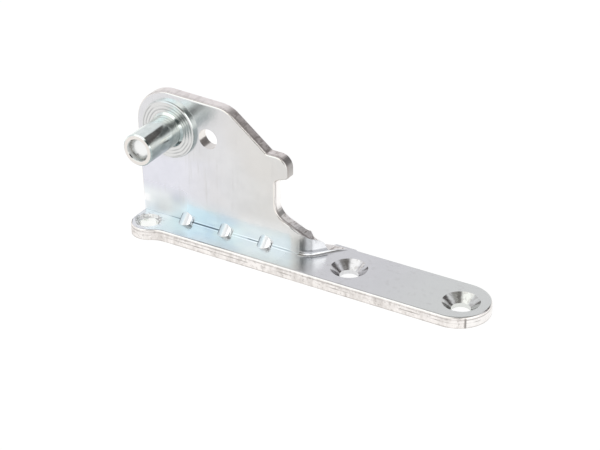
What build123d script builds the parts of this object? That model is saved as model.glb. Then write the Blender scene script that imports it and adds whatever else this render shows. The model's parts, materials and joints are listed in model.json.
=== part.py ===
from build123d import *
import os
from math import acos, asin, atan2, cos, degrees, hypot, radians, sin, tan

# Hinge bracket of a fridge door: one thick sheet, folded along a sharp crease into a
# flat strap and an upright web, and a turned hinge pin riveted through the web.
# Millimetres. The origin lies on the hinge axis, halfway along the pin's bearing
# surface: +X runs along the strap to its far end, the pin points to -Y, +Z is up.

# Sheet and strap
sheet = 4.6
strap_width = 25.4
strap_reach = 136.7        # hinge axis to the strap's far end
heel_reach = 13.5          # hinge axis to the strap's heel, under the pin
pin_height = 43.3          # hinge axis above the strap's underside
crease_depth = 11.7        # front edge to the crease
edge_round = 0.8           # rolled edge left by the shears on the shown faces
fold_fullness = 0.92       # outer radius of the fold, as a share of the sheet

# Countersunk screw holes along the strap
screw_hole = 7.3
countersink = 14.3
countersink_angle = 100
screw_pitch = 47.0
end_screw_inset = 11.0     # last screw to the strap's far end
screw_row_depth = 12.2     # front edge to the line of the screws

# Ear at the heel
ear_radius = 7.4
ear_overhang = 2.9         # how far the ear stands out past the front edge
ear_blend = 9.0
ear_hole = 7.2
ear_hole_bevel = 1.5
ear_hole_shift = 0.6       # its centre lies this far outside the ear's

# Outline of the web, seen from the front, about the hinge axis
crown_radius = 14.7        # round corner about the pin
crown_shift = 0.6          # its centre lies this far outside the hinge axis
top_fall = 1.7             # degrees that the top edge falls towards the strap's end
shoulder_x = 25.2          # where the top edge turns into the slant
slant_angle = 38.2
nose_x = 47.1
nose_drop = 5.0            # centre of the nose below the hinge axis
nose_radius = 4.9
nose_foot = 8.5            # the nose's lower corner below the hinge axis
nose_foot_round = 1.0
undercut_angle = 20        # rise of the nose's lower edge towards its corner
nose_overhang = 5.6        # how far the nose stands out over the hollow below it
sweep_radius = 7.0
low_rise = 8.8             # web's low end above the strap
low_fall = 23              # degrees that the edge still falls there
shoulder_round = 12.0
slant_foot_round = 1.5
notch_round = 2.4
web_hole = 8.2
web_hole_x = 17.2
web_hole_drop = 0.35

# End of the fold: the web turns back and runs out at the strap's back edge
turn_gap = 5.4             # end of the nose to the start of the turn
turn_angle = 51
turn_inner_radius = 2.3
foot_round = 1.6           # hollow along the foot of the turn and the run-out
front_step = (0.22, 4.8)   # front face: share of the run-out's length and rise of its step,
front_knee = (0.325, 1.0)  # of the knee below it,
front_tail = 0.83          # and the share where it has died away
back_step = (0.075, 4.6)   # the same on the back face, which comes down sooner
back_knee = (0.29, 1.4)
back_tail = 0.58
step_round = 0.6
knee_round = 1.0

# Gussets pressed into the fold
gusset_count = 3
gusset_first_x = 6.4
gusset_pitch = 17.8
gusset_radius = 2.75
dent_radius = 2.2
dent_depth = 1.3

# Hinge pin
pin_diameter = 12.9
bearing_length = 18.8
pin_base_bevel = 0.8
pin_tip_bevel = 0.5
flange_diameter = 23.8
flange_thickness = 1.8
flange_round = 0.6
cup_diameter = 8.6
cup_depth = 2.1
cup_dome = 1.0
cup_bevel = 0.3
shank_diameter = 9.5
shank_clearance = 0.05
rivet_diameter = 14.5
rivet_height = 2.6
rivet_rim = 0.9

# Places that follow from the sizes above
base_z = -pin_height
strap_top = base_z + sheet
tip_y = -bearing_length / 2 - pin_tip_bevel
flange_y = bearing_length / 2 + pin_base_bevel
web_front = flange_y + flange_thickness
web_back = web_front + sheet
front_y = web_front - crease_depth
back_y = front_y + strap_width
mid_y = (front_y + back_y) / 2
screw_y = front_y + screw_row_depth
bend_radius = fold_fullness * sheet
low_z = strap_top + low_rise
nose_end = nose_x + nose_radius
turn_x = nose_end + turn_gap
end_screw_x = strap_reach - end_screw_inset
foot_reach = 2 * foot_round
dart_length = 4 * gusset_radius
dart_root = sheet / 4
dart_tilt = (-45, 0, 0)
ear_x = ear_radius - heel_reach
ear_hole_x = ear_x - ear_hole_shift
ear_y = front_y - ear_overhang + ear_radius

along = (cos(radians(turn_angle)), sin(radians(turn_angle)))
outward = (along[1], -along[0])
turn_y = web_back + turn_inner_radius
runout_start = (turn_x + turn_inner_radius * outward[0], turn_y + turn_inner_radius * outward[1])
runout_length = (back_y - runout_start[1]) / along[1]
front_reach = runout_length + sheet * along[0] / along[1]
low_slope = tan(radians(low_fall))


def runout_point(distance, depth):
    """Plan point at a distance along the run-out and a depth in from its back face."""
    return (
        runout_start[0] + distance * along[0] + depth * outward[0],
        runout_start[1] + distance * along[1] + depth * outward[1],
    )


def nearest_vertex(vertices, x, y, z=0):
    return vertices.sort_by_distance((x, y, z))[0]


# Strap: flat plate up to the crease, with the ear and the screw holes
with BuildPart() as strap:
    ear_meets = degrees(asin((ear_radius - ear_overhang) / ear_radius))
    with BuildSketch(Plane.XY.offset(base_z)):
        with BuildLine():
            heel = Line((-heel_reach, web_front), (-heel_reach, ear_y))
            ear = CenterArc((ear_x, ear_y), ear_radius, 180, 180 - ear_meets)
            Line(ear @ 1, (strap_reach - strap_width / 2, front_y))
            CenterArc((strap_reach - strap_width / 2, mid_y), strap_width / 2, -90, 180)
            Line((strap_reach - strap_width / 2, back_y), runout_point(front_reach, sheet))
            Line(runout_point(front_reach, sheet), runout_point(0, sheet))
            CenterArc((turn_x, turn_y), turn_inner_radius + sheet, -90, turn_angle)
            Line((turn_x, web_front), heel @ 0)
        make_face()
        blend_at = ear @ 1
        fillet(nearest_vertex(vertices(), blend_at.X, blend_at.Y), ear_blend)
    extrude(amount=sheet)
    top_rim = faces().sort_by(Axis.Z)[-1].edges()
    rolled = top_rim.filter_by(lambda e: e.center().Y < web_front - sheet)
    rolled += top_rim.filter_by(lambda e: e.center().X > end_screw_x)
    rolled += top_rim.filter_by(lambda e: e.center().Y > back_y - edge_round)
    fillet(ShapeList(set(rolled)), edge_round)
    with Locations(
        (end_screw_x, screw_y, strap_top),
        (end_screw_x - screw_pitch, screw_y, strap_top),
    ):
        CounterSinkHole(
            screw_hole / 2,
            countersink / 2,
            depth=sheet,
            counter_sink_angle=countersink_angle,
        )
    with Locations((ear_hole_x, ear_y, strap_top)):
        CounterSinkHole(
            ear_hole / 2,
            ear_hole / 2 + ear_hole_bevel,
            depth=sheet,
            counter_sink_angle=countersink_angle,
        )

# Web: upright plate, round about the pin, with the slant, the nose and the hollow
with BuildPart() as web:
    heel_offset = crown_shift - heel_reach
    heel_span = hypot(heel_offset, strap_top)
    touch = degrees(atan2(strap_top, heel_offset) - acos(crown_radius / heel_span)) % 360
    crown_end = 90 - top_fall
    with BuildSketch(Plane.XZ.offset(-web_back)):
        with BuildLine():
            heel = Line((-heel_reach, base_z), (-heel_reach, strap_top))
            crown = CenterArc((-crown_shift, 0), crown_radius, touch, crown_end - touch)
            Line(heel @ 1, crown @ 0)
            crown_top = crown @ 1
            shoulder = (shoulder_x, crown_top.Y - (shoulder_x - crown_top.X) * tan(radians(top_fall)))
            Line(crown_top, shoulder)
            nose_top = nose_radius - nose_drop
            slant_foot = (shoulder_x + (shoulder[1] - nose_top) / tan(radians(slant_angle)), nose_top)
            Line(shoulder, slant_foot)
            Line(slant_foot, (nose_x, nose_top))
            CenterArc((nose_x, -nose_drop), nose_radius, 90, -90)
            Line((nose_end, -nose_drop), (nose_end, -nose_foot))
            notch_x = nose_end - nose_overhang
            notch_top = -nose_foot - nose_overhang * tan(radians(undercut_angle))
            Line((nose_end, -nose_foot), (notch_x, notch_top))
            notch_foot = low_z + (turn_x - notch_x) * low_slope
            Line((notch_x, notch_top), (notch_x, notch_foot))
            Line((notch_x, notch_foot), (turn_x, low_z))
            Line((turn_x, low_z), (turn_x, base_z))
            Line((turn_x, base_z), heel @ 0)
        make_face()
        fillet(nearest_vertex(vertices(), *shoulder), shoulder_round)
        fillet(nearest_vertex(vertices(), *slant_foot), slant_foot_round)
        fillet(nearest_vertex(vertices(), nose_end, -nose_foot), nose_foot_round)
        fillet(nearest_vertex(vertices(), notch_x, notch_top), notch_round)
        fillet(nearest_vertex(vertices(), notch_x, notch_foot), sweep_radius)
    extrude(amount=sheet)
    front_rim = faces().sort_by(Axis.Y)[0].edges()
    rolled = front_rim.filter_by(lambda e: e.center().Z > strap_top and e.center().X < turn_x - edge_round)
    fillet(rolled, edge_round)
    fillet(edges().filter_by(Axis.X).group_by(Axis.Z)[0].sort_by(Axis.Y)[-1], bend_radius)
    with Locations(Plane(origin=(web_hole_x, web_front, -web_hole_drop), z_dir=(0, -1, 0))):
        Hole(web_hole / 2, depth=sheet)
    with Locations(Plane(origin=(0, web_front, 0), z_dir=(0, -1, 0))):
        Hole(shank_diameter / 2 + shank_clearance, depth=sheet)

# Section of the fold beyond the web: depth from the outer face, and height
with BuildSketch() as fold_section:
    with BuildLine():
        Polyline(
            (0, base_z),
            (0, low_z),
            (sheet, low_z),
            (sheet, strap_top),
            (sheet + foot_reach, strap_top),
            (sheet + foot_reach, base_z),
            close=True,
        )
    make_face()
    fillet(nearest_vertex(vertices(), 0, base_z), bend_radius)
    fillet(nearest_vertex(vertices(), sheet, strap_top), foot_round)

# Turn: the web's low end bends back about an upright axis
with BuildPart() as turn:
    with BuildSketch(Plane(origin=(turn_x, web_back, 0), x_dir=(0, -1, 0), z_dir=(-1, 0, 0))):
        add(fold_section.sketch)
    revolve(axis=Axis((turn_x, turn_y, 0), (0, 0, 1)), revolution_arc=turn_angle)
    split(bisect_by=Plane(origin=(turn_x, 0, low_z), z_dir=(low_slope, 0, 1)), keep=Keep.BOTTOM)

# Height of the run-out: down a step to a knee, then dying away at the back edge
def runout_height(depth, step, knee, tail):
    """Upright profile of the run-out at a depth in from its back face."""
    foot = runout_point(0, depth)
    start = (0, low_z - (foot[0] - turn_x) * low_slope)
    step_point = (step[0] * front_length, strap_top + step[1])
    knee_point = (knee[0] * front_length, strap_top + knee[1])
    tail_point = (tail * front_length, strap_top)
    end = (front_length, strap_top)
    with BuildSketch(Plane(origin=(*foot, 0), x_dir=(*along, 0), z_dir=(*outward, 0))) as profile:
        with BuildLine():
            Polyline((0, base_z), start, step_point, knee_point, tail_point, end)
            Polyline(end, (front_length, base_z), (0, base_z))
        make_face()
        fillet(nearest_vertex(vertices(), *step_point), step_round)
        fillet(nearest_vertex(vertices(), *knee_point), knee_round)
    return profile.sketch


with BuildPart() as runout_room:
    front_length = front_reach + foot_round
    front_height = runout_height(sheet, front_step, front_knee, front_tail)
    back_height = runout_height(0, back_step, back_knee, back_tail)
    loft([back_height.face(), front_height.face()], ruled=True)
    extrude(front_height, amount=foot_reach)

with BuildPart() as runout:
    section_plane = Plane(
        origin=(*runout_start, 0),
        x_dir=(*outward, 0),
        z_dir=(-along[0], -along[1], 0),
    )
    with BuildSketch(section_plane):
        add(fold_section.sketch)
    extrude(amount=-front_length)
    add(runout_room.part, mode=Mode.INTERSECT)
    split(bisect_by=Plane.XZ.offset(-back_y), keep=Keep.TOP)

# Gussets: round darts across the inside of the fold
with BuildPart() as gussets:
    first_dart = Vector(gusset_first_x, web_front, strap_top)
    dart_places = [first_dart + Vector(i * gusset_pitch, 0, 0) for i in range(gusset_count)]
    with Locations(*dart_places):
        Cylinder(gusset_radius, dart_length, rotation=dart_tilt)
    with BuildSketch(Plane.YZ):
        with Locations((web_front, strap_top)):
            Rectangle(dart_length, dart_length, align=(Align.MAX, Align.MIN))
        offset(amount=dart_root)
    extrude(amount=strap_reach, mode=Mode.INTERSECT)

# Dents that the same darts leave on the outside of the fold
with BuildPart() as dents:
    dent_reach = (bend_radius + dent_radius - dent_depth) * sin(radians(45))
    dent_y = web_back - bend_radius + dent_reach
    dent_z = base_z + bend_radius - dent_reach
    with Locations(*[Vector(place.X, dent_y, dent_z) for place in dart_places]):
        Cylinder(dent_radius, dart_length, rotation=dart_tilt)

with BuildPart() as bracket:
    add(strap.part)
    add(web.part)
    add(turn.part)
    add(runout.part)
    add(gussets.part)
    add(dents.part, mode=Mode.SUBTRACT)

# Hinge pin: turned stud with a thin flange, a dished tip and a riveted tail
with BuildPart() as hinge_pin:
    pin_radius = pin_diameter / 2
    cup_radius = cup_diameter / 2
    flange_radius = flange_diameter / 2
    flange_corner = flange_round * (1 - cos(radians(45)))
    shank_radius = shank_diameter / 2
    rivet_radius = rivet_diameter / 2
    cup_floor = tip_y + cup_depth
    rivet_top = web_back + rivet_height
    with BuildSketch():
        with BuildLine():
            dome = TangentArc((0, cup_floor - cup_dome), (cup_radius, cup_floor), tangent=(1, 0))
            Polyline(
                (cup_radius, cup_floor),
                (cup_radius, tip_y),
                (pin_radius, tip_y),
                (pin_radius, flange_y),
                (flange_radius - flange_round, flange_y),
                (flange_radius - flange_corner, flange_y + flange_corner),
                (flange_radius, flange_y + flange_round),
                (flange_radius, web_front),
                (shank_radius, web_front),
                (shank_radius, web_back),
                (rivet_radius, web_back),
                (rivet_radius, web_back + rivet_rim),
            )
            TangentArc((0, rivet_top), (rivet_radius, web_back + rivet_rim), tangent=(1, 0))
            Line((0, rivet_top), dome @ 0)
        make_face()
        chamfer(nearest_vertex(vertices(), cup_radius, tip_y), cup_bevel)
        chamfer(nearest_vertex(vertices(), pin_radius, tip_y), pin_tip_bevel)
        chamfer(nearest_vertex(vertices(), pin_radius, flange_y), pin_base_bevel)
    revolve(axis=Axis.Y)

bracket.part.label = "bracket"
hinge_pin.part.label = "hinge_pin"

os.makedirs("parts", exist_ok=True)
export_step(bracket.part, "parts/bracket.step")
export_step(hinge_pin.part, "parts/hinge_pin.step")
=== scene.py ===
import bpy
import json
import math
from mathutils import Matrix, Vector


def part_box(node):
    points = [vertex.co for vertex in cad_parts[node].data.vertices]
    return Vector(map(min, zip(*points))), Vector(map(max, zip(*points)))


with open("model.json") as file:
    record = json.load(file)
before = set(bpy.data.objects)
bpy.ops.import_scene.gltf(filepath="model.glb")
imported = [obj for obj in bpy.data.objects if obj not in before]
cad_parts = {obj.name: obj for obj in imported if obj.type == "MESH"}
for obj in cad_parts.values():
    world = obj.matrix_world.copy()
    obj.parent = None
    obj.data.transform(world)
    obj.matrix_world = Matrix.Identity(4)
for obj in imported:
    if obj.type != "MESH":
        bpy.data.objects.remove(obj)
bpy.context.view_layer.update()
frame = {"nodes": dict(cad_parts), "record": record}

# Metres in a millimetre. Blender's scene is in metres; the places and the materials
# below are in millimetres.
MM = 0.001
X, Y, Z = range(3)

# Camera: read from the photograph's own perspective
CAMERA_AZIMUTH = math.radians(30.98)
CAMERA_ELEVATION = math.radians(29.41)
CAMERA_ROLL = math.radians(-0.218)
CAMERA_DISTANCE = 824.35
CAMERA_AIM = Vector((49.22, 26.05, -35.23))
CAMERA_LENS = 128.78
CAMERA_SENSOR = 36.0

# Main places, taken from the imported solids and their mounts
MOUNTS = {mount["name"]: mount for mount in frame["record"]["mounts"]}
WEB_HOLE = MOUNTS["web_hole"]
EAR_HOLE = MOUNTS["ear_hole"]
SCREW_ROW = MOUNTS["strap_screws"]
BASE_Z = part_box("bracket")[0].z / MM
SHEET = WEB_HOLE["dims"]["length_mm"]
STRAP_TOP = BASE_Z + SHEET
WEB_FRONT = WEB_HOLE["pos_m"][Y] / MM - SHEET / 2
HALF_PITCH = Vector((SCREW_ROW["dims"]["spacing_x_mm"] / 2, 0, 0))

# Turn of the web: where it starts, its upright axis and outer radius, where the
# run-out's face starts, and where the shading starts to bend ahead of it
TURN_X = 57.4
TURN_ANGLE = math.radians(51)
TURN_CHORD = TURN_ANGLE / 2
TURN_RADIUS = 6.9
TURN_AXIS = Vector((TURN_X, WEB_FRONT + TURN_RADIUS, 0))
RUNOUT_START = TURN_AXIS + Vector((math.sin(TURN_ANGLE), -math.cos(TURN_ANGLE), 0)) * TURN_RADIUS
EARLY_TURN_X = 57.6
EARLY_TURN_REACH = 4.5

# Seam on the strap's round end, where the shear's two cuts meet
SEAM = Vector((132.2, 3.3, 0))


def place_of(mount):
    return Vector(mount["pos_m"]) / MM


# Holes of the bracket: centre, axis and radius of the wall
HOLES = {
    "web": (place_of(WEB_HOLE), Y, WEB_HOLE["dims"]["r_mm"]),
    "ear": (place_of(EAR_HOLE), Z, EAR_HOLE["dims"]["r_mm"]),
    "near_screw": (place_of(SCREW_ROW) - HALF_PITCH, Z, SCREW_ROW["dims"]["hole_r_mm"]),
    "end_screw": (place_of(SCREW_ROW) + HALF_PITCH, Z, SCREW_ROW["dims"]["hole_r_mm"]),
}
COUNTERSINK_RADIUS = 7.15

# Colours of the zinc: cool at the web's left, warm at its right, and on the strap
COOL_DULL, COOL_CLEAN = (0.73, 0.73, 0.79), (0.78, 0.78, 0.84)
WARM_DULL, WARM_CLEAN = (0.67, 0.665, 0.65), (0.73, 0.725, 0.71)
STRAP_DULL, STRAP_CLEAN = (0.71, 0.71, 0.72), (0.75, 0.75, 0.76)
STRAP_END = (0.74, 0.755, 0.73)
SCRATCH = (0.58, 0.57, 0.56)
WARM_BLOTCH = (0.72, 0.69, 0.66)
# Painted highlight past the turn and beside the crease; painted shade along the turn's foot
PALE_HIGHLIGHT = (0.96, 0.98, 1.0)
FOOT_SHADE = (0.32, 0.33, 0.36)

# Colours down in the fold, on its darts and at the heel, mostly painted reflections, painted shade and painted
# highlights
REFLECTION_GREEN, REFLECTION_BLUE = (0.70, 0.77, 0.76), (0.63, 0.72, 0.78)
REFLECTION_BY_EAR = (0.67, 0.77, 0.78)
FOLD_GLINT = (0.84, 0.88, 0.87)
WEB_HIGHLIGHT_BY_TURN, STRAP_HIGHLIGHT_BY_TURN = (1.0, 0.93, 0.89), (0.90, 0.91, 0.93)
WEB_HIGHLIGHT_OVER_EAR = (0.94, 1.0, 1.0)
CREASE_SHADE = (0.18, 0.22, 0.26)
DART_SHADE, DART_RIDGE_REFLECTION, DART_HIGHLIGHT = (0.26, 0.31, 0.34), (0.76, 0.85, 0.89), (0.98, 0.99, 1.0)
HEEL_HIGHLIGHT = (0.95, 0.97, 0.97)
HEEL_GLINT = (1.0, 1.0, 1.0)
EAR_WALL_HIGHLIGHT = (0.96, 0.97, 0.95)
EAR_CRINKLE_REFLECTION = (0.16, 0.17, 0.16)
CHATTER = (0.42, 0.40, 0.39)

# Colours of the sheared and rolled edges, with painted highlights and painted shade among them
ROLLED_EDGE = (0.88, 0.84, 0.79)
STRAP_SHEAR_DULL, STRAP_SHEAR_CLEAN = (0.72, 0.68, 0.65), (0.95, 0.91, 0.88)
SHEAR_SPECK = (0.40, 0.37, 0.35)
WEB_SHEAR_DULL, WEB_SHEAR_CLEAN = (0.72, 0.67, 0.64), (1.0, 0.94, 0.91)
TOP_SHEAR_HIGHLIGHT = (1.0, 0.95, 0.92)
SHEAR_HIGHLIGHT = (1.0, 0.98, 0.96)
SHEAR_STREAK = (0.50, 0.45, 0.42)
SWEEP_START_SHADE = (0.30, 0.29, 0.28)
NOSE_SIDE_SHADE = (0.34, 0.33, 0.32)
INNER_LINE = (0.40, 0.36, 0.34)
END_SHEAR = (0.98, 0.96, 0.94)
SEAM_COLOUR = (0.20, 0.18, 0.17)
STRAP_RIM_HIGHLIGHT = (0.97, 0.92, 0.88)
STRAP_LINES = (0.34, 0.31, 0.29)

# Colours of the pin, with painted light and shade on its body
PIN_LIT_DULL, PIN_LIT_CLEAN = (0.80, 0.86, 0.83), (0.88, 0.94, 0.90)
PIN_SHADED_DULL, PIN_SHADED_CLEAN = (0.32, 0.38, 0.38), (0.43, 0.49, 0.49)
PIN_DARK_REFLECTION = (0.26, 0.29, 0.29)
PIN_CUP = (0.50, 0.51, 0.50)
TIP_DOME, TIP_RIM = (0.90, 0.90, 0.89), (0.80, 0.76, 0.72)
FLANGE_FACE, FLANGE_RING = (0.72, 0.72, 0.71), (0.50, 0.50, 0.50)
FLANGE_RING_PITCH = 1.25


class Shader:
    """A material's node tree, with short calls for the nodes used here.

    x, y and z are the object's own coordinates in millimetres, nx, ny and nz the face's
    normal. A mask is 1 inside and 0 outside.
    """

    def __init__(self, name):
        self.material = bpy.data.materials.new(name)
        self.material.use_nodes = True
        self.tree = self.material.node_tree
        self.surface = self.tree.nodes["Principled BSDF"]
        self.place = self.node("ShaderNodeTexCoord").outputs["Object"]
        in_millimetres = self.node("ShaderNodeVectorMath", operation="SCALE")
        self.feed(in_millimetres.inputs[0], self.place)
        in_millimetres.inputs["Scale"].default_value = 1 / MM
        self.x, self.y, self.z = self.split(in_millimetres.outputs[0])
        self.nx, self.ny, self.nz = self.split(self.node("ShaderNodeNewGeometry").outputs["True Normal"])

    def node(self, kind, **settings):
        made = self.tree.nodes.new(kind)
        for key, value in settings.items():
            setattr(made, key, value)
        return made

    def feed(self, socket, value):
        if isinstance(value, bpy.types.NodeSocket):
            self.tree.links.new(value, socket)
        elif socket.type == "RGBA":
            socket.default_value = (*value, 1.0)
        else:
            socket.default_value = value

    def split(self, vector):
        parts = self.node("ShaderNodeSeparateXYZ")
        self.feed(parts.inputs[0], vector)
        return tuple(parts.outputs)

    def math(self, operation, *values):
        made = self.node("ShaderNodeMath", operation=operation)
        for socket, value in zip(made.inputs, values):
            self.feed(socket, value)
        return made.outputs[0]

    def size(self, value):
        return self.math("ABSOLUTE", value)

    def apart(self, value, place):
        """Distance of a value from a place."""
        return self.size(self.math("SUBTRACT", value, place))

    def ramp(self, value, start, end):
        """0 at start, 1 at end, smooth between. start may be the larger."""
        made = self.node("ShaderNodeMapRange", interpolation_type="SMOOTHSTEP")
        self.feed(made.inputs["Value"], value)
        made.inputs["From Min"].default_value = min(start, end)
        made.inputs["From Max"].default_value = max(start, end)
        made.inputs["To Min"].default_value = 0.0 if start < end else 1.0
        made.inputs["To Max"].default_value = 1.0 if start < end else 0.0
        return made.outputs["Result"]

    def line(self, value, place, outer, inner):
        """Mask of a line: 1 within inner of a place, 0 beyond outer."""
        return self.ramp(self.apart(value, place), outer, inner)

    def both(self, *masks):
        result = masks[0]
        for mask in masks[1:]:
            result = self.math("MULTIPLY", result, mask)
        return result

    def either(self, *masks):
        result = masks[0]
        for mask in masks[1:]:
            result = self.math("MAXIMUM", result, mask)
        return result

    def outside(self, mask):
        return self.math("SUBTRACT", 1.0, mask)

    def mix(self, share, under, over):
        """Mixes two colours."""
        made = self.node("ShaderNodeMix", data_type="RGBA")
        self.feed(made.inputs["Factor"], share)
        self.feed(made.inputs[6], under)
        self.feed(made.inputs[7], over)
        return made.outputs[2]

    def lay(self, under, over, *masks):
        """Lays one colour over another inside all the masks."""
        return self.mix(self.both(*masks), under, over)

    def mix_value(self, share, under, over):
        made = self.node("ShaderNodeMix", data_type="FLOAT")
        self.feed(made.inputs["Factor"], share)
        self.feed(made.inputs[2], under)
        self.feed(made.inputs[3], over)
        return made.outputs[0]

    def noise(self, scale, detail=3.0, roughness=0.5, stretch=(1, 1, 1), seed=0.0):
        """Noise with scale waves to the metre."""
        moved = self.node("ShaderNodeMapping")
        self.feed(moved.inputs["Vector"], self.place)
        moved.inputs["Scale"].default_value = stretch
        moved.inputs["Location"].default_value = (seed, seed, seed)
        made = self.node("ShaderNodeTexNoise")
        self.feed(made.inputs["Vector"], moved.outputs[0])
        made.inputs["Scale"].default_value = scale
        made.inputs["Detail"].default_value = detail
        made.inputs["Roughness"].default_value = roughness
        return made.outputs["Fac"]

    def bump(self, height, distance, strength, under=None):
        made = self.node("ShaderNodeBump")
        self.feed(made.inputs["Strength"], strength)
        made.inputs["Distance"].default_value = distance * MM
        self.feed(made.inputs["Height"], height)
        if under is not None:
            self.feed(made.inputs["Normal"], under)
        return made.outputs[0]

    def from_axis(self, place, along):
        """Distance from an axis through a place, along Y or Z."""
        axes = (self.x, self.y, self.z)
        flat = [axis for axis in (X, Y, Z) if axis != along]
        squares = [self.math("POWER", self.math("SUBTRACT", axes[i], place[i]), 2.0) for i in flat]
        return self.math("SQRT", self.math("ADD", *squares))

    def outside_hole(self, name):
        """1 outside a hole of the bracket, 0 along its wall."""
        place, along, radius = HOLES[name]
        return self.ramp(self.from_axis(place, along), radius + 0.1, radius + 0.3)

    def finish(self, colour, roughness, normal):
        self.feed(self.surface.inputs["Base Color"], colour)
        self.feed(self.surface.inputs["Roughness"], roughness)
        self.feed(self.surface.inputs["Normal"], normal)
        self.surface.inputs["Metallic"].default_value = 1.0
        return self.material


class SheetPlaces:
    """Noises, distances and masks that the sheet's colour, roughness and relief share."""

    def __init__(self, s):
        self.cloud = s.noise(90, detail=4, roughness=0.6)
        self.blotch = s.noise(38, detail=2, seed=2.0)
        self.patch = s.noise(120, detail=2, seed=4.0)
        self.grain = s.noise(230, detail=3, roughness=0.7, stretch=(1, 0.5, 0.6), seed=3.0)
        self.wrung = s.noise(260, detail=2, seed=8.0)

        self.height = s.math("SUBTRACT", s.z, STRAP_TOP)
        self.above = s.ramp(self.height, 0, 0.1)
        self.below = s.outside(self.above)
        self.from_web = s.apart(s.y, WEB_FRONT)
        self.from_strap = s.size(self.height)
        self.from_fold = s.either(self.from_web, self.from_strap)
        self.short_of_turn = s.ramp(s.x, TURN_X - 1.4, TURN_X - 7.4)
        self.from_ear = s.from_axis(*HOLES["ear"][:2])

        # Darts stand across the fold: neither upright nor level
        flatness = s.either(s.size(s.ny), s.size(s.nz))
        self.dart = s.both(
            s.ramp(flatness, 0.985, 0.95),
            s.ramp(self.from_fold, 6.5, 5.5),
            s.ramp(s.x, 50, 48),
            s.ramp(self.height, -1.6, -1.0),
            s.ramp(s.y, WEB_FRONT + 1.0, WEB_FRONT + 0.5),
        )

        # Sheared edges: the web's lie across the sheet, the strap's stand upright
        self.clear_of_fold = s.ramp(self.from_fold, 5, 7)
        past_darts = s.ramp(s.x, TURN_X - 3.4, TURN_X - 0.4)
        not_foot = s.either(self.inside_sheet(s), s.ramp(self.height, 1.7, 1.9))
        self.web_edge = s.both(
            self.above,
            s.either(self.clear_of_fold, past_darts),
            s.ramp(s.size(s.ny), 0.55, 0.35),
            not_foot,
        )
        clear_of_bend = s.either(s.ramp(s.y, WEB_FRONT, WEB_FRONT - 1), s.ramp(s.x, 66, 68))
        self.strap_edge = s.both(self.below, clear_of_bend, s.ramp(s.size(s.nz), 0.96, 0.6))
        self.sunk = s.either(*[
            s.ramp(s.from_axis(*HOLES[name][:2]), COUNTERSINK_RADIUS + 0.15, COUNTERSINK_RADIUS - 0.15)
            for name in ("near_screw", "end_screw")
        ])
        # Hole walls are plated like the faces
        plated = s.both(s.outside_hole("web"), s.outside_hole("ear"), s.outside(self.sunk))
        self.edge = s.both(s.either(self.web_edge, self.strap_edge), plated)
        self.lower_sweep = s.both(s.ramp(s.x, 41, 48), s.ramp(s.z, -20, -25))

    def inside_sheet(self, s):
        """1 in the turn and the run-out, 0 in the hollow foot in front of them."""
        in_turn = s.ramp(s.from_axis(TURN_AXIS, Z), TURN_RADIUS, TURN_RADIUS - 0.1)
        across = s.math("MULTIPLY", s.math("SUBTRACT", s.y, RUNOUT_START.y), math.cos(TURN_ANGLE))
        along = s.math("MULTIPLY", s.math("SUBTRACT", s.x, RUNOUT_START.x), math.sin(TURN_ANGLE))
        behind = s.math("SUBTRACT", across, along)
        past_turn = s.ramp(s.x, RUNOUT_START.x - 1, RUNOUT_START.x)
        return s.either(in_turn, s.both(s.ramp(behind, 0, 0.1), past_turn))


def plating(s, at):
    """Colour of the zinc on the web and the strap, with painted light and shade at the turn."""
    warm = s.either(s.ramp(s.x, -5, 45), s.both(s.ramp(s.z, -16, -8), 0.6))
    cloudy = s.ramp(at.cloud, 0.3, 0.7)
    plate = s.mix(cloudy, s.mix(warm, COOL_DULL, WARM_DULL), s.mix(warm, COOL_CLEAN, WARM_CLEAN))
    strap = s.mix(cloudy, STRAP_DULL, STRAP_CLEAN)
    strap = s.lay(strap, STRAP_END, s.ramp(s.x, 82, 122))
    plate = s.lay(plate, strap, s.ramp(s.x, TURN_X + 0.6, TURN_X + 8.6))

    scratches = s.noise(420, detail=3, roughness=0.6, stretch=(1, 1, 0.10), seed=14.0)
    plate = s.lay(plate, SCRATCH, s.ramp(scratches, 0.54, 0.70), 0.28)
    web_middle = s.both(s.ramp(s.x, 0, 40), s.ramp(s.x, TURN_X + 0.6, TURN_X - 7.4))
    plate = s.lay(plate, WARM_BLOTCH, web_middle, s.ramp(at.blotch, 0.35, 0.65), 0.5)

    # Painted highlight on the face past the turn, and painted shade along its foot
    past_turn = s.both(s.ramp(s.x, TURN_X + 1.4, TURN_X + 3.2), s.ramp(s.x, TURN_X + 11.6, TURN_X + 5.1))
    plate = s.lay(plate, PALE_HIGHLIGHT, past_turn, at.above)
    along_foot = s.both(s.ramp(s.x, TURN_X + 0.1, TURN_X + 3.1), s.ramp(s.x, TURN_X + 16.6, TURN_X + 8.6))
    foot = s.both(s.ramp(at.height, 2.5, 1.9), s.ramp(at.height, 0.6, 1.0))
    return s.lay(plate, FOOT_SHADE, along_foot, foot, 0.7)


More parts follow.
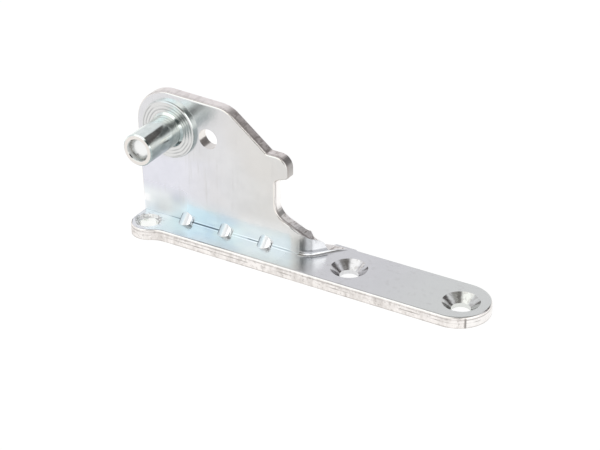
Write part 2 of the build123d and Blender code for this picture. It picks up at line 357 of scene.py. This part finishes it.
def fold_reflection(s, at, plate):
    """Painted cool reflection down in the fold with painted glints, paler towards the turn and on the web over
    the ear, where painted highlights lie.
    """
    strap_reach = s.both(at.below, s.ramp(s.x, TURN_X + 8.6, TURN_X + 0.6))
    near_fold = s.both(s.ramp(at.from_fold, 13, 4), s.either(at.short_of_turn, strap_reach))
    # Painted reflection of the cool studio, in green and blue patches
    reflection = s.mix(s.ramp(at.patch, 0.35, 0.6), REFLECTION_GREEN, REFLECTION_BLUE)
    plate = s.lay(plate, reflection, near_fold, s.mix_value(s.ramp(at.blotch, 0.35, 0.6), 0.4, 0.65))
    by_ear = s.both(at.below, s.ramp(s.x, -6, 0), s.ramp(s.x, 18, 9))
    plate = s.lay(plate, REFLECTION_BY_EAR, by_ear, 0.6)
    glint = s.noise(75, detail=2, seed=11.0)
    plate = s.lay(plate, FOLD_GLINT, near_fold, s.ramp(glint, 0.50, 0.68), 0.4)

    # Painted highlights towards the turn and on the web over the ear
    towards_turn = s.both(near_fold, s.ramp(s.x, 24, 35))
    plate = s.lay(plate, WEB_HIGHLIGHT_BY_TURN, towards_turn, at.above, 0.52)
    plate = s.lay(plate, STRAP_HIGHLIGHT_BY_TURN, towards_turn, at.below, 0.18)
    over_ear = s.both(s.ramp(s.x, -6, 0), s.ramp(s.x, 10, 5), s.ramp(at.from_strap, 9, 4))
    return s.lay(plate, WEB_HIGHLIGHT_OVER_EAR, over_ear, s.mix_value(at.below, 0.7, 0.1))


def crease(s, at, plate):
    """Painted shade in the crease of the fold, broken by noise, and a painted highlight line below it."""
    before_darts = s.both(s.ramp(s.x, 6, 3), 0.65)
    between_darts = s.both(s.ramp(s.x, 6, 9), s.ramp(s.x, 24, 21))
    past_darts = s.line(s.x, 38, 6, 2)
    depth = s.either(s.both(at.patch, 0.75), between_darts, past_darts, before_darts)
    thin = s.ramp(at.from_fold, 0.30, 0.12)
    thick = s.both(s.ramp(at.from_fold, 0.50, 0.25), between_darts)
    dark = s.both(s.either(thin, thick), at.short_of_turn, s.ramp(depth, 0.2, 0.9))
    plate = s.lay(plate, CREASE_SHADE, dark, 0.75)
    # Painted highlight line beside the crease
    pale = s.both(s.line(at.from_web, 0.90, 0.45, 0.15), s.ramp(at.from_strap, 0.2, 0.1))
    return s.lay(plate, PALE_HIGHLIGHT, pale, at.short_of_turn, s.ramp(s.x, 3, 6), 0.8)


def darts(s, at, plate):
    """Darts across the fold, coloured by their normal: painted shade on the left side, a painted cool reflection
    on the ridge, a painted highlight on the right side.
    """
    flank = s.mix(s.ramp(s.nx, -0.75, -0.45), DART_SHADE, DART_RIDGE_REFLECTION)
    flank = s.mix(s.ramp(s.nx, -0.10, 0.25), flank, DART_HIGHLIGHT)
    return s.lay(plate, flank, at.dart)


def heel(s, at, plate):
    """Painted highlights at the heel: round the ear's hole, and up the web behind it."""
    zone = s.both(s.ramp(s.x, 2, -3), s.ramp(at.from_strap, 13, 8))
    plate = s.lay(plate, HEEL_HIGHLIGHT, zone, 0.65)
    # Painted glint low on the web's left end
    glint = s.line(at.from_strap, 5.5, 2.2, 0.8)
    plate = s.lay(plate, HEEL_GLINT, at.above, s.ramp(s.x, -9.5, -12), glint)
    rolled = s.both(at.above, at.clear_of_fold, s.ramp(s.x, 52, 49), s.ramp(s.size(s.ny), 0.985, 0.9))
    plate = s.lay(plate, ROLLED_EDGE, rolled, 0.8)
    # Painted light on the wall of the ear's hole
    return s.lay(plate, EAR_WALL_HIGHLIGHT, s.outside(s.outside_hole("ear")), at.below)


def web_shear(s, at):
    """Sheared edge of the web, from its painted highlight along the top to the dark slant and the sweep, with
    painted highlights on the sweep and the hollow's side and painted shade where the sweep starts and on the
    nose's side.
    """
    shear = s.mix(s.ramp(at.grain, 0.3, 0.7), WEB_SHEAR_DULL, WEB_SHEAR_CLEAN)
    # Painted highlight along the top edge
    shear = s.lay(shear, TOP_SHEAR_HIGHLIGHT, s.ramp(s.x, 26, 22), 0.6)
    # Painted highlight on the lower sweep
    shear = s.lay(shear, SHEAR_HIGHLIGHT, at.lower_sweep, 0.8)
    streak = s.noise(500, detail=3, roughness=0.7, stretch=(1, 0.35, 1), seed=12.0)
    past_shoulder = s.mix_value(s.ramp(s.x, 20, 26), 0.25, 0.7)
    shear = s.lay(shear, SHEAR_STREAK, s.ramp(streak, 0.52, 0.62), past_shoulder)

    # Painted highlight on the hollow's upright side
    hollow_side = s.both(s.ramp(s.nx, 0.85, 0.97), s.ramp(s.x, 49.5, 48.5))
    shear = s.lay(shear, SHEAR_HIGHLIGHT, hollow_side)
    # Painted shade where the sweep starts, and on the nose's side
    sweep_start = s.both(at.lower_sweep, s.ramp(s.nx, 0.97, 0.85), s.ramp(s.nx, 0.62, 0.78))
    shear = s.lay(shear, SWEEP_START_SHADE, sweep_start, 0.85)
    nose_side = s.both(s.ramp(s.x, 48, 50), s.ramp(s.z, -13, -11), s.ramp(s.nx, 0.35, 0.7))
    shear = s.lay(shear, NOSE_SIDE_SHADE, nose_side, s.mix_value(s.ramp(s.z, -10, -5), 0.3, 0.85))

    inner_line = s.both(s.line(at.from_web, 1.1, 0.6, 0.15), s.ramp(at.cloud, 0.25, 0.55))
    return s.lay(shear, INNER_LINE, inner_line, s.mix_value(s.ramp(s.x, 25, 45), 0.25, 0.75))


def sheared_edges(s, at):
    """Specks, lines and seam of the strap's sheared edge, and the web's own shear."""
    speck = s.noise(800, detail=2, roughness=0.6, seed=9.0)
    sheared = s.mix(s.ramp(at.grain, 0.35, 0.65), STRAP_SHEAR_DULL, STRAP_SHEAR_CLEAN)
    sheared = s.lay(sheared, SHEAR_SPECK, s.ramp(speck, 0.56, 0.66), 0.4)
    sheared = s.lay(sheared, web_shear(s, at), at.web_edge)

    end_round = s.both(s.ramp(s.y, SEAM.y, SEAM.y + 0.2), s.ramp(s.x, SEAM.x - 4.2, SEAM.x - 3.2))
    sheared = s.lay(sheared, END_SHEAR, at.strap_edge, end_round, 0.75)
    sheared = s.lay(sheared, SEAM_COLOUR, s.ramp(s.from_axis(SEAM, Z), 0.60, 0.15), 0.8)

    # Painted highlight on the strap's rounded top rim, and lines that the shears leave along the strap, by their
    # height above the underside
    height = s.math("SUBTRACT", s.z, BASE_Z)
    sheared = s.lay(sheared, STRAP_RIM_HIGHLIGHT, at.strap_edge, s.ramp(height, 3.8, 4.1), 0.8)
    under_rim = s.line(height, 3.45, 0.36, 0.10)
    midway = s.line(height, 2.1, 0.30, 0.05)
    foot = s.ramp(height, 0.6, 0.15)
    lines = s.either(s.both(under_rim, 0.62), s.both(foot, 0.5), s.both(midway, s.ramp(at.cloud, 0.4, 0.6)))
    worn = s.mix_value(s.ramp(at.patch, 0.35, 0.6), 0.45, 1.0)
    return s.lay(sheared, STRAP_LINES, at.strap_edge, lines, worn)


def hole_marks(s, at, colour):
    """Uneven walls of the countersinks, and painted dark reflection lines on the crinkles round the ear's hole.
    """
    chatter = s.noise(420, detail=2, roughness=0.6, stretch=(1.6, 1.6, 0.3), seed=6.0)
    wall = s.both(at.sunk, s.ramp(s.nz, 0.95, 0.85), s.ramp(s.nz, 0.2, 0.4))
    colour = s.lay(colour, CHATTER, wall, s.ramp(chatter, 0.45, 0.65), 0.5)
    # Painted dark reflection lines along the crinkles round the ear's hole
    crinkle = s.both(s.line(at.wrung, 0.5, 0.035, 0.005), s.ramp(at.from_ear, 6.6, 5.4))
    return s.lay(colour, EAR_CRINKLE_REFLECTION, crinkle, at.below, s.outside_hole("ear"), 0.5)


def sheet_roughness(s, at):
    """Smooth by the fold, duller up the web, dull where the sheet was cut or worked."""
    up_web = s.ramp(at.from_strap, 6, 14)
    plate = s.mix_value(up_web, s.mix_value(at.cloud, 0.12, 0.20), s.mix_value(at.cloud, 0.21, 0.27))
    on_sweep = s.both(at.web_edge, at.lower_sweep)
    edge = s.mix_value(on_sweep, s.mix_value(at.grain, 0.28, 0.42), 0.6)
    roughness = s.mix_value(at.edge, plate, edge)
    roughness = s.mix_value(at.dart, roughness, s.mix_value(s.ramp(s.nx, 0.6, 0.68), 0.50, 0.12))

    on_turn = s.both(at.above, s.ramp(s.x, TURN_X - 6.4, TURN_X - 1.4), s.ramp(s.x, TURN_X + 6.6, TURN_X + 4.6))
    roughness = s.mix_value(on_turn, roughness, 0.21)
    by_turn = s.both(at.below, s.ramp(s.x, TURN_X - 7.4, TURN_X - 3.4), s.ramp(s.x, TURN_X + 18.6, TURN_X + 10.6))
    by_turn = s.both(by_turn, s.ramp(s.y, WEB_FRONT + 2, WEB_FRONT - 2), s.outside(at.edge))
    roughness = s.mix_value(by_turn, roughness, 0.30)
    over_ear = s.both(at.above, s.ramp(s.x, 9, 3), s.ramp(at.from_strap, 14, 10), s.outside(at.web_edge))
    return s.mix_value(over_ear, roughness, 0.50)


def sheet_relief(s, at):
    """Early bend before the turn, wrung metal at the ear, and the sheet's unevenness."""
    chord = s.math(
        "ADD",
        s.math("MULTIPLY", s.x, math.cos(TURN_CHORD)),
        s.math("MULTIPLY", s.y, math.sin(TURN_CHORD)),
    )
    middle = EARLY_TURN_X * math.cos(TURN_CHORD) + WEB_FRONT * math.sin(TURN_CHORD)
    early_turn = s.ramp(chord, middle + EARLY_TURN_REACH, middle - EARLY_TURN_REACH)
    web_face = s.both(at.above, s.outside(at.web_edge), s.ramp(s.ny, -0.4, -0.5))
    normal = s.bump(early_turn, 2.5, web_face)
    at_ear = s.both(s.ramp(at.from_ear, 8.2, 5.5), at.below, 0.9)
    normal = s.bump(at.wrung, 1.4, at_ear, under=normal)
    normal = s.bump(at.cloud, 0.35, 0.35, under=normal)
    fine = s.noise(1400, detail=2, seed=7.0)
    return s.bump(fine, 0.05, 0.2, under=normal)


def zinc_sheet():
    """Zinc-plated pressed sheet, with sheared edges of their own colour."""
    s = Shader("zinc_sheet")
    at = SheetPlaces(s)
    plate = plating(s, at)
    for layer in (fold_reflection, crease, darts, heel):
        plate = layer(s, at, plate)
    colour = hole_marks(s, at, s.mix(at.edge, plate, sheared_edges(s, at)))
    return s.finish(colour, sheet_roughness(s, at), sheet_relief(s, at))


def turned_pin():
    """Zinc-plated turned steel, polished along the body and ringed on the flange."""
    s = Shader("turned_pin")
    radius = s.from_axis((0, 0, 0), Y)
    cloud = s.noise(130, detail=2, seed=1.0)
    mottle = s.noise(450, detail=3, roughness=0.6, stretch=(1, 0.5, 1), seed=5.0)
    mottled = s.ramp(mottle, 0.35, 0.65)
    end_face = s.ramp(s.size(s.ny), 0.8, 0.95)
    past_tip = s.ramp(radius, 7.0, 7.6)

    # Turned rings on the flange, which wander a little
    turns = s.math("MULTIPLY", radius, 2 * math.pi / FLANGE_RING_PITCH)
    rings = s.math("SINE", s.math("ADD", turns, s.math("MULTIPLY", cloud, 5.0)))
    ringed = s.mix(s.ramp(rings, -0.2, 0.9), FLANGE_FACE, FLANGE_RING)
    ringed = s.mix(s.ramp(cloud, 0.35, 0.6), FLANGE_FACE, ringed)
    tip = s.mix(s.ramp(radius, 3.6, 4.4), TIP_DOME, TIP_RIM)

    # Body: painted highlight above, painted shade below, with a painted dark reflection band towards the flange
    top = s.mix(mottled, PIN_LIT_DULL, PIN_LIT_CLEAN)
    underside = s.mix(mottled, PIN_SHADED_DULL, PIN_SHADED_CLEAN)
    body = s.mix(s.ramp(s.nz, 0.15, 0.38), underside, top)
    band = s.both(s.ramp(s.nz, 0.40, 0.55), s.ramp(s.nz, 0.95, 0.85), s.ramp(s.nx, 0, 0.1))
    band_length = s.both(s.ramp(s.y, -4, -1), s.ramp(s.y, 9, 5))
    body = s.lay(body, PIN_DARK_REFLECTION, band, band_length, s.mix_value(mottle, 0.35, 1.0), 0.7)
    body = s.lay(body, PIN_CUP, s.ramp(radius, 4.7, 4.4))
    colour = s.mix(end_face, body, s.mix(past_tip, tip, ringed))

    on_flange = s.both(end_face, past_tip)
    roughness = s.mix_value(end_face, 0.13, s.mix_value(on_flange, 0.30, 0.24))
    uneven = s.bump(mottle, 0.08, 0.45)
    normal = s.bump(rings, 0.04, s.both(on_flange, 0.5), under=uneven)
    return s.finish(colour, roughness, normal)


def give(node, material):
    """Puts one material on every slot of a node."""
    mesh = frame["nodes"][node].data
    if not mesh.materials:
        mesh.materials.append(material)
    for i in range(len(mesh.materials)):
        mesh.materials[i] = material


def pale_floor():
    """Plain white floor that the object stands on."""
    size, gap = 6.0, 0.02 * MM
    mesh = bpy.data.meshes.new("floor")
    corners = [(-size, -size, 0), (size, -size, 0), (size, size, 0), (-size, size, 0)]
    mesh.from_pydata(corners, [], [(0, 1, 2, 3)])
    floor = bpy.data.objects.new("floor", mesh)
    floor.location.z = BASE_Z * MM - gap
    bpy.context.scene.collection.objects.link(floor)
    material = bpy.data.materials.new("pale_floor")
    material.use_nodes = True
    surface = material.node_tree.nodes["Principled BSDF"]
    surface.inputs["Base Color"].default_value = (0.2, 0.2, 0.2, 1)
    surface.inputs["Roughness"].default_value = 0.9
    surface.inputs["Specular IOR Level"].default_value = 0.0
    surface.inputs["Emission Color"].default_value = (1, 1, 1, 1)
    surface.inputs["Emission Strength"].default_value = 0.88
    mesh.materials.append(material)


# The studio's level colour, and soft patches on it in the order they are laid:
# azimuth, elevation, outer and inner half-angle in degrees, colour
STUDIO_COLOUR = (0.81, 0.81, 0.84)
STUDIO_PATCHES = [
    (0, -90, 108, 76, (1.00, 1.00, 0.99)),      # pale backdrop down at the horizon
    (0, 90, 44, 24, (0.42, 0.42, 0.43)),        # dim ceiling
    (100, 68, 24, 10, (0.20, 0.19, 0.18)),      # dark panel over the right soft box
    (-157, 42, 40, 27, (1.28, 1.28, 1.26)),     # soft box at the front left
    (-147, 28, 20, 11, (1.20, 1.34, 1.40)),     # its cool lower part
    (111, 27, 38, 25, (1.40, 1.40, 1.40)),      # soft box at the right
    (149, 29, 22, 11, (0.05, 0.06, 0.06)),      # dark room round the camera
    (40, 12, 15, 9, (0.09, 0.08, 0.08)),        # dark flats at the back right
    (30, 29, 17, 10, (0.09, 0.08, 0.08)),
    (14, 37, 14, 8, (0.11, 0.10, 0.10)),
    (-60, 5, 15, 8, (0.14, 0.13, 0.13)),        # dark stand at the left
]


def direction(azimuth, elevation):
    """Unit vector towards a place in the studio.

    Azimuth 0 is +Y, behind the object, and 90 is +X.
    """
    a, e = math.radians(azimuth), math.radians(elevation)
    return Vector((math.sin(a) * math.cos(e), math.cos(a) * math.cos(e), math.sin(e)))


def studio():
    """A pale studio with soft boxes, and dark places for the bright metal to mirror."""
    world = bpy.data.worlds.new("studio")
    world.use_nodes = True
    bpy.context.scene.world = world
    nodes, links = world.node_tree.nodes, world.node_tree.links
    background = nodes["Background"]
    way = nodes.new("ShaderNodeTexCoord").outputs["Generated"]
    colour = None
    for azimuth, elevation, outer, inner, patch_colour in STUDIO_PATCHES:
        dot = nodes.new("ShaderNodeVectorMath")
        dot.operation = "DOT_PRODUCT"
        dot.inputs[1].default_value = direction(azimuth, elevation)
        links.new(way, dot.inputs[0])
        patch = nodes.new("ShaderNodeMapRange")
        patch.interpolation_type = "SMOOTHSTEP"
        patch.inputs["From Min"].default_value = math.cos(math.radians(outer))
        patch.inputs["From Max"].default_value = math.cos(math.radians(inner))
        links.new(dot.outputs["Value"], patch.inputs["Value"])
        mixed = nodes.new("ShaderNodeMix")
        mixed.data_type = "RGBA"
        links.new(patch.outputs["Result"], mixed.inputs["Factor"])
        if colour is None:
            mixed.inputs[6].default_value = (*STUDIO_COLOUR, 1)
        else:
            links.new(colour, mixed.inputs[6])
        mixed.inputs[7].default_value = (*patch_colour, 1)
        colour = mixed.outputs[2]
    links.new(colour, background.inputs["Color"])
    background.inputs["Strength"].default_value = 1.0


def make_camera():
    data = bpy.data.cameras.new("camera")
    data.sensor_width = CAMERA_SENSOR
    data.lens = CAMERA_LENS
    data.clip_start, data.clip_end = 0.01, 50.0
    camera = bpy.data.objects.new("camera", data)
    bpy.context.scene.collection.objects.link(camera)
    level = Vector((math.cos(CAMERA_AZIMUTH), math.sin(CAMERA_AZIMUTH), 0))
    forward = Vector((-math.sin(CAMERA_AZIMUTH), math.cos(CAMERA_AZIMUTH), 0))
    back = Vector((0, 0, math.sin(CAMERA_ELEVATION))) - forward * math.cos(CAMERA_ELEVATION)
    right = level * math.cos(CAMERA_ROLL) + back.cross(level) * math.sin(CAMERA_ROLL)
    turned = Matrix((right, back.cross(right), back)).transposed().to_4x4()
    place = (CAMERA_AIM + back * CAMERA_DISTANCE) * MM
    camera.matrix_world = Matrix.Translation(place) @ turned
    bpy.context.scene.camera = camera


give("bracket", zinc_sheet())
give("hinge_pin", turned_pin())
pale_floor()
studio()
make_camera()
bpy.context.scene.view_settings.view_transform = "Standard"
